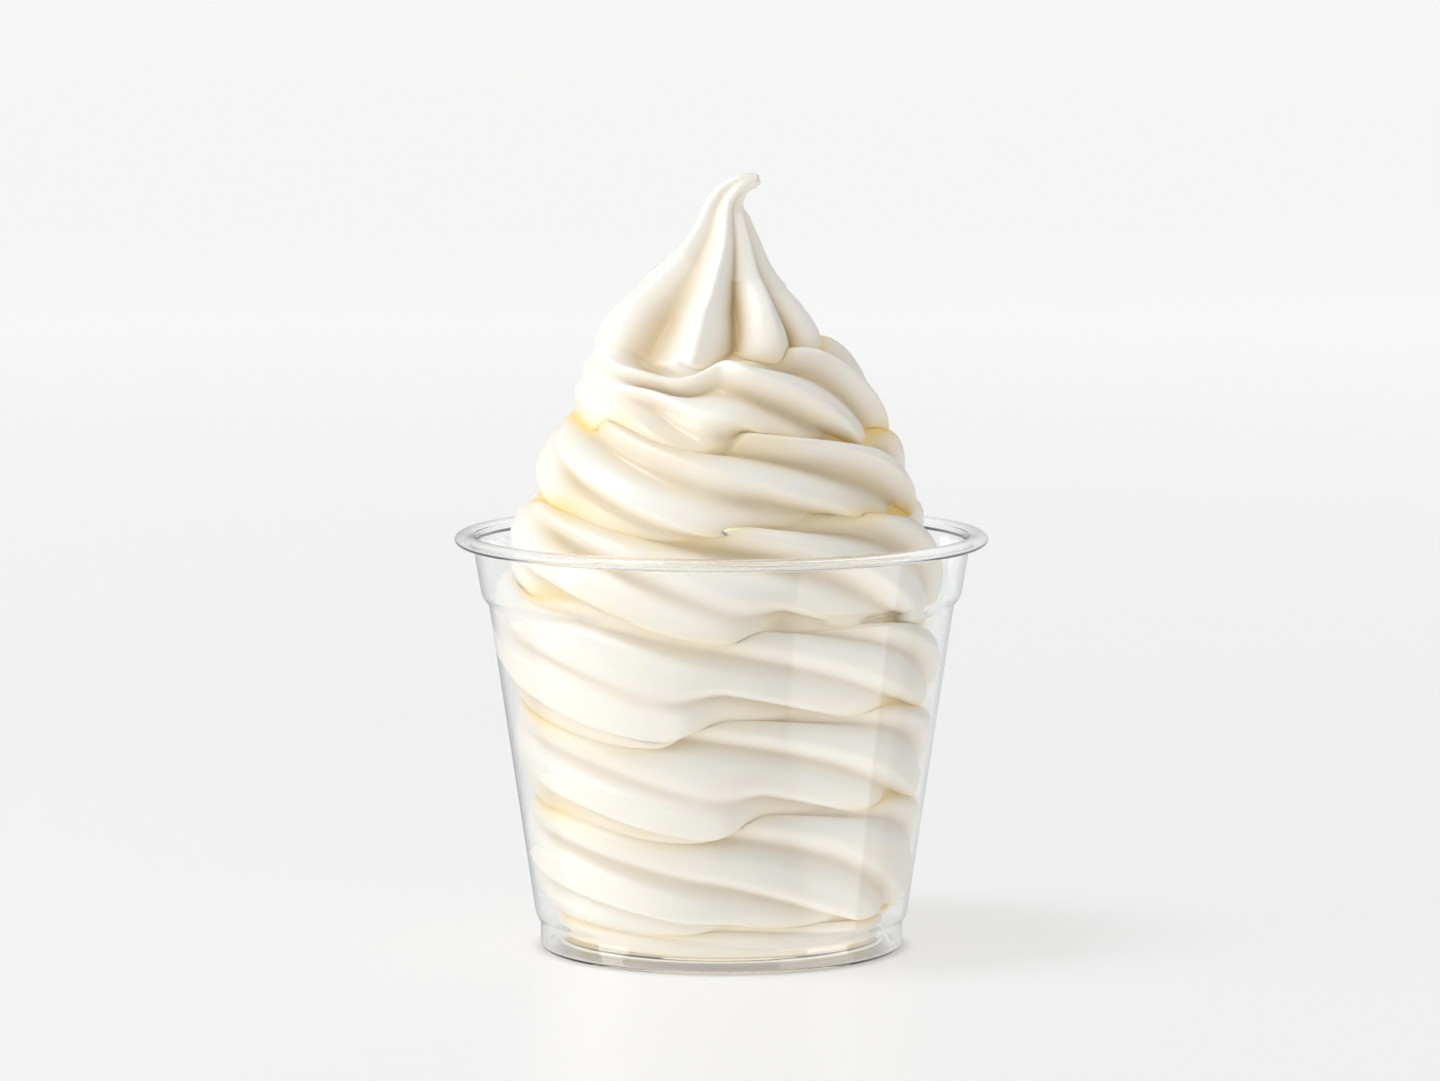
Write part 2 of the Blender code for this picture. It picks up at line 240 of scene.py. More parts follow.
# turn, radius, height
PEAK = (
    (-3.00, 0.2, 145.4),
    (-2.50, 0.85, 145.1),
    (-2.00, 1.35, 144.5),
    (-1.50, 1.7, 142.4),
    (-1.25, 2.0, 140.6),
    (-1.00, 2.9, 137.4),
    (-0.50, 5.2, 132.6),
    (0.00, 9.0, 125.0),
    (0.25, 11.8, 120.6),
    (0.50, 14.2, 117.0),
    (0.75, 21.2, 113.4),
)
# radius and height at the front, right, back and left of turns 1 to 7
REST_LINES = (
    ((17.0, 108.6), (16.6, 109.8), (20.0, 105.5), (23.0, 95.8)),
    ((25.4, 95.2), (27.6, 93.8), (28.6, 89.8), (32.0, 81.2)),
    ((31.4, 81.0), (32.4, 80.6), (33.4, 75.5), (35.4, 67.4)),
    ((34.2, 64.6), (35.2, 60.4), (35.2, 54.0), (33.0, 47.2)),
    ((33.6, 47.2), (35.2, 46.0), (33.6, 37.0), (31.2, 27.6)),
    ((31.0, 29.2), (32.6, 29.0), (31.0, 19.0), (29.2, 8.4)),
    ((29.0, 8.4), (29.8, 7.9), (29.2, 4.8), (28.4, 3.4)),
)
# radius and height at the front of turns 8 and 9
FOOT_OF_SWIRL = ((27.4, SWIRL_BOTTOM), (25.4, SWIRL_BOTTOM))

stations = [list(station) for station in PEAK]
for number, sides in enumerate(REST_LINES, start=1):
    stations += [[number + quarter / 4, *side] for quarter, side in enumerate(sides)]
stations += [[number, *side] for number, side in enumerate(FOOT_OF_SWIRL, start=8)]
stations = np.array(stations)
print("stations on the path", len(stations))

# %% [markdown]
# ## A curve that never overshoots
# A plain spline swings past its points where they bunch up, and the rope would bulge
# there. So the slope at each point is the harmonic mean of the slopes before and after
# it, and flat at a turning point: the curve then stays between its points.

# %% Smooth path
def through(x, known_x, known_y):
    """The smooth curve through the known points, at x."""
    step = np.diff(known_x)
    slope = np.diff(known_y) / step
    tangent = np.zeros_like(known_y)
    before, after = slope[:-1], slope[1:]
    same_way = before * after > 0
    tangent[1:-1][same_way] = (2 * before * after)[same_way] / (before + after)[same_way]
    tangent[0], tangent[-1] = slope[0], slope[-1]
    i = np.clip(np.searchsorted(known_x, x) - 1, 0, len(known_x) - 2)
    t = (x - known_x[i]) / step[i]
    start = (2 * t**3 - 3 * t**2 + 1) * known_y[i] + (t**3 - 2 * t**2 + t) * step[i] * tangent[i]
    end = (3 * t**2 - 2 * t**3) * known_y[i + 1] + (t**3 - t**2) * step[i] * tangent[i + 1]
    return start + end


def rest_line(turn):
    """Radius and height of the line between turns."""
    radius = through(turn, stations[:, 0], stations[:, 1])
    height = through(turn, stations[:, 0], stations[:, 2])
    return np.stack([radius, height], axis=-1)


def ease(start, stop, x):
    """0 before start, 1 after stop, smooth between."""
    t = np.clip((x - start) / (stop - start), 0, 1)
    return t * t * (3 - 2 * t)


def degrees_from(turn, azimuth):
    """Signed angle from an azimuth (0 front, 90 right) to a place on the rope."""
    return (turn * 360 - azimuth + 180) % 360 - 180


print("path at the right of turn 2:", rest_line(np.array([2.25])).round(1))

# %% [markdown]
# ## The nozzle's ridges
# The star nozzle leaves eight ridges on the rope. Each ridge is a whole number of a
# running count, so a crest is where the count is whole. On a ring the count runs on
# from the top line to the bottom line, which makes the ridges cross the ring at a
# slant. On the peak they run straight up to the tip. A crest is crisp and a flute is
# round, so the profile is a sine with its sharp side outwards. The rope leans on the
# ring below, so there each flute is tucked under the crest above it, like a fold. Two
# short tables bend the count where the crests of the real swirl don't run evenly.

# %% Ridges
RIDGES_PER_TURN = 8
DEGREES_A_RIDGE = 360 / RIDGES_PER_TURN
RIDGE_DEPTH = 3.7
RIDGE_DEPTH_ON_PEAK = 4.6
RIDGE_DEPTH_IN_CUP = 2.9
CREST_SOFTNESS = 0.05
FLUTE_TUCKED_UNDER = 0.2


def ridge_profile(count, pressed_flat=0.0, tucked=0.0, grooved=0.0):
    """1 on a crest, where count is whole, and 0 in a flute. A flute may be tucked under the
    crest above it, and a ridge may be grooved: round itself, with a narrow flute beside it."""
    phase = count - np.floor(count)
    phase = phase - FLUTE_TUCKED_UNDER * tucked * np.sin(np.pi * phase)
    across = np.sqrt(np.sin(np.pi * phase) ** 2 + CREST_SOFTNESS**2) - CREST_SOFTNESS
    crisp = 1 - across / (math.sqrt(1 + CREST_SOFTNESS**2) - CREST_SOFTNESS)
    blunt = 1 - np.sin(np.pi * phase) ** 4
    narrow = np.sqrt(np.cos(np.pi * phase) ** 2 + CREST_SOFTNESS**2) - CREST_SOFTNESS
    return crisp + (blunt - crisp) * pressed_flat + (narrow - crisp) * grooved


def opened(turn):
    """The crease opens at the front left, under the peak: 0 closed, 1 open."""
    return ease(0.93, 1.04, turn)


def ridges_along(turn):
    """The running count, a little slower down in the cup, where the ridges are wider."""
    wider = 0.3 * np.log1p(np.exp(np.clip((turn - 3.4) * 4, -40, 40)))
    return RIDGES_PER_TURN * turn - wider


def ridges_at_top(turn):
    return ridges_along(turn) - 0.3 * np.sin(turn * 2 * np.pi) + 1.62


def ridges_at_bottom(turn):
    flatter = 0.55 * ease(2.6, 3.8, turn)
    first = 0.18 * ease(1.3, 1.0, turn)
    slanted = 0.7 * np.cos(turn * 2 * np.pi + 0.35)
    return ridges_along(turn) - slanted - 0.29 - flatter + first


# degrees left of the ridge at the peak's front, and the count added there
BROAD_LEFT = (
    np.array([-150.0, -100.0, -86.0, -58.0, -36.0, -14.0, 0.0]),
    np.array([0.0, 0.75, 0.75, 0.34, 0.30, 0.13, 0.0]),
)
# places on the first two rings, in turns, and the count added there
BENT = (
    np.array([0.70, 0.80, 0.90, 0.98, 1.06, 1.60, 1.87, 2.04, 2.22, 2.35]),
    np.array([-0.45, -0.55, -0.72, -0.30, 0.0, 0.0, 0.62, 0.55, 0.1, 0.0]),
)


def ridges_on_peak(turn, height):
    """Ridge count on the peak, whose ridges lean to the left on their way down."""
    angle = degrees_from(turn, 0)
    from_ridge = angle + 12 - (np.clip(height, 96, 142) - 110) * 0.85
    broad_left = through(np.clip(from_ridge, -150, 0), *BROAD_LEFT)
    whole_turns = np.round(turn - angle / 360)
    return from_ridge / DEGREES_A_RIDGE + broad_left + RIDGES_PER_TURN * whole_turns


def ridge_count(turn, down, height):
    """The peak's ridges bend over into the first ring's, which lie two counts on."""
    top, bottom = ridges_at_top(turn), ridges_at_bottom(turn)
    top = top + 0.5 * ease(1.12, 0.86, turn)
    crowding = 1.1 - 0.3 * np.sin(turn * 2 * np.pi)
    on_coil = top - (top - bottom) * np.sign(down) * np.abs(down) ** crowding
    on_coil += through(np.clip(turn, 0.70, 2.35), *BENT)
    on_coil -= 0.7 * ease(0.5, 0.0, down) * ease(0.84, 0.93, turn) * ease(1.045, 1.0, turn)
    on_peak = ridges_on_peak(turn, height) + 2 * (turn > 0.35)
    bent_over = ease(0.35, 0.8, turn) * (1 - ease(0.5, 0.0, down) * (1 - opened(turn)))
    return np.where(turn > 1.1, on_coil, on_peak * (1 - bent_over) + on_coil * bent_over)


print("depth of a crest and a flute:", ridge_profile(np.array([0.0, 0.5])).round(2))

# %% [markdown]
# ## The outline of one ring
# Cut the swirl at any place and one ring shows as a rounded bump from its top line to
# its bottom line. A cubic curve draws the bump: it leaves the top line up and outwards,
# and comes back under to the bottom line, so that each ring overhangs the next and a
# deep crease is left between them. The ridges then push the curve in and out, and a
# few of them end as a lobe that sags over the ring below.

# %% One ring
# turn at which a lobe ends, and how far it sags
LOBES = ((1.975, 4.2), (2.985, 3.0), (4.0, 4.0), (4.95, 5.2), (5.985, 4.6), (6.96, 1.2))
SAG_DIRECTION = np.array([0.95, -1.0])
CALM_AZIMUTH, BULGE_AZIMUTH = -96, -85


def unit(vectors):
    return vectors / np.maximum(np.linalg.norm(vectors, axis=-1, keepdims=True), 1e-9)


def inside_cup(points):
    """1 well below the rim, 0 above it."""
    return ease(76, 62, points[..., 1])


def ridge_depth(points, count, turns, down):
    """How far the ridges stand out, calm at the left where a ring starts to climb."""
    height = points[..., 1]
    from_calm = np.abs(degrees_from(turns, CALM_AZIMUTH))
    calm = 1 - 0.8 * ease(44, 18, from_calm) * ease(126, 112, height)
    edge_of_peak = degrees_from(turns, -70 + 52 * np.clip(down, 0, 1))
    under_peak = 1 - 0.85 * ease(20, -14, edge_of_peak) * ease(-100, -60, edge_of_peak)
    calm = np.where((turns > 0.55) & (turns < 1.05), np.minimum(calm, under_peak), calm)
    depths = (RIDGE_DEPTH_IN_CUP, RIDGE_DEPTH, RIDGE_DEPTH, RIDGE_DEPTH_ON_PEAK)
    deep = np.minimum(points[..., 0] * 0.32, np.interp(height, (62, 78, 106, 112), depths))
    under_foot = ease(0.35, 0.05, down) * ease(0.88, 0.96, turns) * ease(1.2, 1.08, turns)
    deep = deep * ease(144.0, 140.0, height) * (1 - 0.75 * under_foot)
    deep = deep * (1 + 0.12 * np.sin(2.1 * count + 1))
    return deep * ease(SWIRL_BOTTOM + 0.6, SWIRL_BOTTOM + 11, height) * calm


def bump_curve(turn, down):
    """Points on the plain bump and the outward direction at each, without ridges."""
    top, bottom = rest_line(turn), rest_line(turn + 1)
    chord = bottom - top
    length = np.linalg.norm(chord, axis=1)[:, None]
    along = unit(chord)
    out = np.stack([-along[:, 1], along[:, 0]], axis=-1)
    left = ease(76, 26, np.abs(degrees_from(turn, BULGE_AZIMUTH)))[:, None]
    bulge = (0.27 + 0.10 * left) * length * (1 - 0.25 * ease(70, 50, top[:, 1:]))
    bulge *= ease(SWIRL_BOTTOM + 0.3, SWIRL_BOTTOM + 6, top[:, 1:])
    up_and_out = unit(out - along * (0.35 + 0.45 * left))
    closed = [unit(rest_line(t + 0.5) - rest_line(t - 0.5)) * length / 3 for t in (turn, turn + 1)]
    open_top, open_bottom = opened(turn)[:, None], opened(turn + 1)[:, None]
    lead = (1 - open_top) * closed[0] + open_top * up_and_out * bulge * (1.4 + 0.33 * left)
    trail = -(1 - open_bottom) * closed[1] + open_bottom * out * bulge * 1.33
    a, b, c, d = top[:, None], (top + lead)[:, None], (bottom + trail)[:, None], bottom[:, None]
    t = down[..., None]
    points = (1 - t) ** 3 * a + 3 * (1 - t) ** 2 * t * b + 3 * (1 - t) * t**2 * c + t**3 * d
    heading = unit((1 - t) ** 2 * (b - a) + 2 * (1 - t) * t * (c - b) + t**2 * (d - c))
    return points, np.stack([-heading[..., 1], heading[..., 0]], axis=-1)


def ring_outline(turn, down):
    """Radius and height on the ring that starts at each turn, and what its ridges do there."""
    turns = turn[:, None] + 0 * down
    points, outward = bump_curve(turn, down)
    count = ridge_count(turns, down, points[..., 1])
    deep = ridge_depth(points, count, turns, down)
    flattened, tucked = 0.6 * inside_cup(points), ease(0.9, 1.3, turns + down)
    side = degrees_from(turns, 0)
    grooved = 0.7 * ease(0.9, 0.6, turns) * ease(-20, 15, side) * ease(130, 90, side)
    profile = ridge_profile(count, flattened, tucked, grooved)
    sag = 0 * down
    for lobe_turn, drop in LOBES:
        past = (turns + 1 - lobe_turn) * 360
        swell = np.where(past < 0, ease(-80, 0, past) ** 1.3, ease(20, 0, past))
        sag = sag + swell * ease(0.35, 0.9, down) * drop
    deep = deep * (1 - 0.5 * np.minimum(sag / 3, 1))
    points = points + outward * (deep * (profile - 0.5))[..., None]
    points = points + sag[..., None] * SAG_DIRECTION
    return points, count, deep, profile, grooved


# %% [markdown]
# ## Where two rings meet
# Each ring's curve runs a little past its own lines, so a ring and the one under it
# cross. The crease belongs at that crossing. We cut both curves into short pieces,
# find the pieces that cross, and keep the crossing furthest out. Where two rings don't
# quite meet, each keeps to its own line and the skin bridges the two. Where a crest
# juts out, the crossing can jump for a moment. A median over the neighbours leaves
# such a jump out, and a few passes of smoothing make the crease one flowing line.

# %% Crossing
PIECES = 84
SMOOTHING_PASSES = 4


def without_spikes(values, reach=5):
    """Each value becomes the median of its neighbourhood, so a lone jump is left out."""
    padded = np.pad(values, reach, mode="edge")
    windows = np.lib.stride_tricks.sliding_window_view(padded, 2 * reach + 1)
    return np.median(windows, axis=1)


def smoothed(values):
    """Each value becomes a weighted mean of itself and three on each side."""
    weights = np.array([1.0, 3.0, 5.0, 6.0, 5.0, 3.0, 1.0])
    return np.convolve(np.pad(values, 3, mode="edge"), weights / weights.sum(), "valid")


def crossing(turn):
    """Where the ring above and the ring below each line meet, as a share down each."""
    upper_down = np.linspace(0.62, 1.36, PIECES)
    lower_down = np.linspace(-0.36, 0.55, PIECES)
    upper = ring_outline(turn - 1, np.tile(upper_down, (len(turn), 1)))[0]
    lower = ring_outline(turn, np.tile(lower_down, (len(turn), 1)))[0]
    p, r = upper[:, :-1, None], np.diff(upper, axis=1)[:, :, None]
    q, e = lower[:, None, :-1], np.diff(lower, axis=1)[:, None]
    cross = r[..., 0] * e[..., 1] - r[..., 1] * e[..., 0]
    cross = np.where(np.abs(cross) < 1e-12, 1e-12, cross)
    apart = q - p
    on_upper = (apart[..., 0] * e[..., 1] - apart[..., 1] * e[..., 0]) / cross
    on_lower = (apart[..., 0] * r[..., 1] - apart[..., 1] * r[..., 0]) / cross
    meets = (on_upper >= 0) & (on_upper <= 1) & (on_lower >= 0) & (on_lower <= 1)
    reach = np.where(meets, p[..., 0] + on_upper * r[..., 0], -1)
    column = np.arange(len(turn))
    i, j = np.unravel_index(reach.reshape(len(turn), -1).argmax(axis=1), reach.shape[1:])
    found = meets[column, i, j]
    above = upper_down[i] + on_upper[column, i, j] * (upper_down[1] - upper_down[0])
    below = lower_down[j] + on_lower[column, i, j] * (lower_down[1] - lower_down[0])
    above, below = np.where(found, above, 1.0), np.where(found, below, 0.0)
    above, below = without_spikes(above), without_spikes(below)
    for _ in range(SMOOTHING_PASSES):
        above, below = smoothed(above), smoothed(below)
    return above, below


# %% [markdown]
# ## Cup and tip
# Inside the cup the wall flattens whatever would reach it. In glass or clear plastic a
# filling must reach just into the wall, because a thin layer of air between the two
# would show as a mirror, so the limit lies a tenth of a millimetre inside the sheet.
# At the top the rope bends over to the right, round a small circle, into the curl.

# %% Placing the points
SOFT_CONTACT = 0.5
WALL_REACHES_ABOVE_TAPER = 0.4
BEND_FROM = 135.2
BEND_RADIUS = 6.0
LEAN_HEIGHTS = (96.0, 106.0, 112.0, 118.0, 124.0, 130.0, 137.0)
LEAN = (0.0, -0.6, -1.2, -1.5, -0.9, 0.0, 0.5)


def pressed(points):
    """The points, held back by the cup's tapered wall."""
    rise = (TAPER_TOP[0] - TAPER_BOTTOM[0]) / (TAPER_TOP[1] - TAPER_BOTTOM[1])
    limit = TAPER_BOTTOM[0] - SHEET + (points[..., 1] - TAPER_BOTTOM[1]) * rise + INTO_WALL
    past = np.maximum(points[..., 0] - (limit - SOFT_CONTACT), 0)
    flattened = limit - SOFT_CONTACT * np.exp(-past / SOFT_CONTACT)
    beside_wall = (past > 0) & (points[..., 1] < TAPER_TOP[1] + WALL_REACHES_ABOVE_TAPER)
    return np.stack([np.where(beside_wall, flattened, points[..., 0]), points[..., 1]], axis=-1)


def placed(turns, points):
    """From radius and height round the swirl's own leaning, curling axis to x, y, z."""
    angle = turns * 2 * np.pi
    radius, height = points[..., 0], points[..., 1]
    side, y = radius * np.sin(angle), -radius * np.cos(angle)
    bend = np.maximum(height - BEND_FROM, 0) / BEND_RADIUS
    lean = np.interp(height, LEAN_HEIGHTS, LEAN)
    x = lean + BEND_RADIUS * (1 - np.cos(bend)) + side * np.cos(bend)
    z = np.minimum(height, BEND_FROM) + BEND_RADIUS * np.sin(bend) - side * np.sin(bend)
    return np.stack([x, y, z], axis=-1)


# %% [markdown]
# ## Winding the skin
# The swirl is one long strip, wound from the tip to the foot: its lower edge is sewn to
# the upper edge of the next turn, so the whole is one closed skin with real creases.
# Each face corner also gets a texture place, made of the ridge count and the turn, so
# that streaks can run along the ridges. Where the skin was placed also tells what its
# colour needs to know, so the ring's depth and profile are kept for the next step.

# %% Wind the swirl
COLUMNS_A_TURN = 208
ROWS = 42
FIRST_TURN, LAST_TURN = -3.0, 8.0

columns = int(round((LAST_TURN - FIRST_TURN) * COLUMNS_A_TURN)) + 1
turn = FIRST_TURN + np.arange(columns + COLUMNS_A_TURN) / COLUMNS_A_TURN
above, below = crossing(turn)
above = 1 + (above - 1) * opened(turn)
below = below * opened(turn)
share = np.linspace(0, 1, ROWS + 1)
down = below[:columns, None] * (1 - share) + above[COLUMNS_A_TURN:, None] * share
turns = turn[:columns, None] + 0 * down
flat_points, count, deep, profile, grooved = ring_outline(turn[:columns], down)
skin = placed(turns, pressed(flat_points))
later = np.arange(COLUMNS_A_TURN, columns)
skin[later, 0] = (skin[later, 0] + skin[later - COLUMNS_A_TURN, ROWS]) / 2
print("columns and rows", columns, ROWS)

# %% Sew it into one mesh
index = np.arange(columns * ROWS).reshape(columns, ROWS)


def corner(column, row):
    """A row past the last is the first row of the next turn, so the skin is sewn."""
    return index[column, row] if row < ROWS else index[column + COLUMNS_A_TURN, 0]


corners = list(skin[:, :ROWS].reshape(-1, 3) * MM)
faces, places = [], []
for column in range(columns - 1):
    for row in range(ROWS):
        if row == ROWS - 1 and column + 1 + COLUMNS_A_TURN > columns - 1:
            continue
        ring = (column, row), (column, row + 1), (column + 1, row + 1), (column + 1, row)
        faces.append([corner(*spot) for spot in ring])
        places.append([(count[spot] / RIDGES_PER_TURN, turns[spot]) for spot in ring])

tip = [index[column, 0] for column in range(COLUMNS_A_TURN)]
tip += [corner(0, row) for row in range(ROWS, 0, -1)]
corners.append(np.mean([corners[i] for i in tip], axis=0))
faces += [[len(corners) - 1, start, tip[(i + 1) % len(tip)]] for i, start in enumerate(tip)]

last = columns - 1
foot = [index[last, 0]]
foot += [index[column, ROWS - 1] for column in range(last - COLUMNS_A_TURN + 1, columns)]
foot += [index[last, row] for row in range(ROWS - 2, 0, -1)]
faces.append([index[last - COLUMNS_A_TURN, ROWS - 1], foot[0], foot[1]])
foot_centre = np.mean([corners[i] for i in foot], axis=0)
corners.append(np.array([foot_centre[0], foot_centre[1], SWIRL_BOTTOM * MM]))
faces += [[len(corners) - 1, foot[(i + 1) % len(foot)], start] for i, start in enumerate(foot)]
swirl = add_piece("soft_serve_swirl", [tuple(point) for point in corners], faces)

# %% [markdown]
# ## Notes for the paint
# Light that enters a crease bounces between two creamy walls and comes out golden, most
# of all in the deep pockets at the left and right, and the flutes and creases lie in
# shade. Here that bounce light and shade are painted into the cream's colour, with a
# faint painted glow in the pockets. The mesh knows where its creases are, so it can tell
# the material: an attribute is a number kept at each corner of the mesh, and a shader can
# read it by name. Three are kept as masks for that painted light and shade: how close a
# corner is to a crease, whether that crease is a pocket, and how deep in a flute the
# corner lies.

# %% Attributes
# masks for the painted shade and bounce light in creases, pockets and flutes
CREASE_REACH = 1.8
ring_length = np.linalg.norm(rest_line(turn[:columns] + 1) - rest_line(turn[:columns]), axis=1)
across = ring_length[:, None] * (above[COLUMNS_A_TURN:] - below[:columns])[:, None]
by_top = np.exp(-((across * share / CREASE_REACH) ** 1.3)) * opened(turns)
by_bottom = np.exp(-((across * (1 - share) / CREASE_REACH) ** 1.3)) * opened(turns + 1)
crease = np.maximum(by_top, by_bottom)
# the pocket mask carries painted bounce light and a painted glow
pocket = crease**2.6 * ease(0.60, 0.90, np.abs(np.sin(turns * 2 * np.pi)))
in_cup = inside_cup(flat_points)
# the flute mask darkens the cream as painted shade, deepest on the peak
narrowing = 2.4 + 1.2 * grooved + 0.4 * ease(1.0, 1.2, turns)
flute = (1 - profile) ** narrowing * (1 - 0.2 * in_cup)
flute *= np.minimum(deep / RIDGE_DEPTH_ON_PEAK, 1) ** 1.2 * (0.8 + 0.7 * grooved)
crease = crease * (1 - 0.2 * in_cup)
pocket = pocket * (0.9 - 0.35 * in_cup)
extra = np.zeros(len(swirl.data.vertices) - columns * ROWS)
for name, values in (("crease", crease), ("pocket", pocket), ("flute", flute)):
    note_on_mesh = swirl.data.attributes.new(name, "FLOAT", "POINT")
    on_corners = np.append(values[:, :ROWS].ravel(), extra).astype(np.float32)
    note_on_mesh.data.foreach_set("value", on_corners)
    print(name, "up to", round(float(values.max()), 2))

texture_place = swirl.data.uv_layers.new(name="along_the_rope")
flat_places = np.array(places, np.float32).reshape(-1, 2)
all_places = np.zeros((len(swirl.data.loops), 2), np.float32)
all_places[: len(flat_places)] = flat_places
texture_place.data.foreach_set("uv", all_places.ravel())
print("texture places", len(flat_places), "of", len(all_places))

# %% [markdown]
# ## Small steps in a node tree
# A material is worked out by nodes that each do one small thing. Writing out such a
# node takes four or five lines, and the same few come back in every material and in
# the world. So each gets a function that adds the node and hands back its output.

# %% Node helpers
def feed(tree, socket, value):
    """Give a socket a plain value, or link it to another node's output."""
    if isinstance(value, bpy.types.NodeSocket):
        tree.links.new(value, socket)
    else:
        socket.default_value = value


def calculate(tree, operation, first, second):
    node = tree.nodes.new("ShaderNodeMath")
    node.operation = operation
    feed(tree, node.inputs[0], first)
    feed(tree, node.inputs[1], second)
    return node.outputs[0]


def ramp(tree, value, start, stop, low=0.0, high=1.0, smooth=True):
    """low where value is start, high where it is stop, and a ramp between."""
    node = tree.nodes.new("ShaderNodeMapRange")
    node.interpolation_type = "SMOOTHSTEP" if smooth else "LINEAR"
    limits = {"From Min": start, "From Max": stop, "To Min": low, "To Max": high}
    for name, limit in limits.items():
        node.inputs[name].default_value = limit
    tree.links.new(value, node.inputs["Value"])
    return node.outputs["Result"]


def mixed(tree, factor, first, second):
    """A colour between first and second, each a socket or a plain colour."""
    mix = tree.nodes.new("ShaderNodeMix")
    mix.data_type = "RGBA"
    for number, value in ((0, factor), (6, first), (7, second)):
        feed(tree, mix.inputs[number], value)
    return mix.outputs[2]


def stretched(tree, place, factors):
    times = tree.nodes.new("ShaderNodeVectorMath")
    times.operation = "MULTIPLY"
    times.inputs[1].default_value = factors
    tree.links.new(place, times.inputs[0])
    return times.outputs["Vector"]


def note(tree, name):
    """The note of that name on the mesh."""
    reader = tree.nodes.new("ShaderNodeAttribute")
    reader.attribute_name = name
    return reader.outputs["Fac"]


print("node helpers ready")

# %% [markdown]
# ## One unevenness for every finish
# Neither cream nor drawn plastic is perfectly even. One node group gives every material
# its unevenness: two layers of noise, stretched along the texture place it is handed,
# come out as a height for a Bump node and as a mask for colour or roughness. Built
# once, it serves the cream with long streaks and the plastic with a faint ripple.

# %% Unevenness group
def add_socket(group, name, in_out, kind, value=None):
    socket = group.interface.new_socket(name, in_out=in_out, socket_type=kind)
    if value is not None:
        socket.default_value = value


def build_unevenness():
    group = bpy.data.node_groups.new("unevenness", "ShaderNodeTree")
    add_socket(group, "Place", "INPUT", "NodeSocketVector")
    add_socket(group, "Broad Scale", "INPUT", "NodeSocketFloat", 3.0)
    add_socket(group, "Fine Scale", "INPUT", "NodeSocketFloat", 30.0)
    add_socket(group, "Fine Share", "INPUT", "NodeSocketFloat", 0.3)
    add_socket(group, "Height", "OUTPUT", "NodeSocketFloat")
    add_socket(group, "Mask", "OUTPUT", "NodeSocketFloat")
    nodes, links = group.nodes, group.links
    given, made = nodes.new("NodeGroupInput"), nodes.new("NodeGroupOutput")
    broad, fine = nodes.new("ShaderNodeTexNoise"), nodes.new("ShaderNodeTexNoise")
    broad.inputs["Detail"].default_value = 2.0
    fine.inputs["Detail"].default_value = 3.0
    both = nodes.new("ShaderNodeMix")
    for noise, scale in ((broad, "Broad Scale"), (fine, "Fine Scale")):
        links.new(given.outputs["Place"], noise.inputs["Vector"])
        links.new(given.outputs[scale], noise.inputs["Scale"])
    links.new(given.outputs["Fine Share"], both.inputs["Factor"])
    links.new(broad.outputs["Fac"], both.inputs["A"])
    links.new(fine.outputs["Fac"], both.inputs["B"])
    links.new(both.outputs["Result"], made.inputs["Height"])
    links.new(broad.outputs["Fac"], made.inputs["Mask"])
    return group


unevenness = build_unevenness()
print("group outputs", [s.name for s in unevenness.interface.items_tree if s.in_out == "OUTPUT"])

# %% [markdown]
# ## Vanilla cream
# Soft serve is milk, sugar and air, and light goes a few millimetres into it before it
# comes out again. Subsurface scattering does that: red light travels furthest, so thin
# crests glow warm and the shadows stay soft. The colour is a warm white. On top of it,
# by the three notes on the mesh, painted shade turns it tan in the flutes and creases,
# and painted bounce light turns it golden in the creases and pockets, where a faint
# painted glow adds to it.
# Fine streaks follow the ridges, because their texture place is the ridge count.

# %% Cream material
CREAM = (0.955, 0.938, 0.90, 1.0)
CREAM_STREAK = (0.95, 0.92, 0.865, 1.0)
# painted shade in the flutes
FLUTE_PAINTED_SHADE = (0.55, 0.41, 0.18, 1.0)
# painted shade and golden bounce light in the creases
CREASE_PAINTED_SHADE_AND_BOUNCE = (0.82, 0.705, 0.455, 1.0)
# painted golden bounce light in the pockets
POCKET_PAINTED_BOUNCE_LIGHT = (0.85, 0.68, 0.32, 1.0)
# a painted glow in the pockets, emitted by the cream to stand in for bounced light
POCKET_PAINTED_GLOW_COLOUR = (1.0, 0.70, 0.26, 1.0)
POCKET_PAINTED_GLOW = 0.12
CREASE_SHADE_AND_BOUNCE_PAINT, POCKET_BOUNCE_LIGHT_PAINT = 0.7, 1.8
STREAK_PLACE = (26.0, 3.0, 1.0)
SCATTER_COLOUR = (1.0, 0.88, 0.66)
SCATTER_DEPTH = 0.8


def use_unevenness(tree, place, broad, fine, share):
    uneven = tree.nodes.new("ShaderNodeGroup")
    uneven.node_tree = unevenness
    uneven.inputs["Broad Scale"].default_value = broad
    uneven.inputs["Fine Scale"].default_value = fine
    uneven.inputs["Fine Share"].default_value = share
    tree.links.new(place, uneven.inputs["Place"])
    return uneven


def add_bump(tree, shader, height, strength, distance):
    bump = tree.nodes.new("ShaderNodeBump")
    bump.inputs["Strength"].default_value = strength
    bump.inputs["Distance"].default_value = distance
    tree.links.new(height, bump.inputs["Height"])
    tree.links.new(bump.outputs["Normal"], shader.inputs["Normal"])


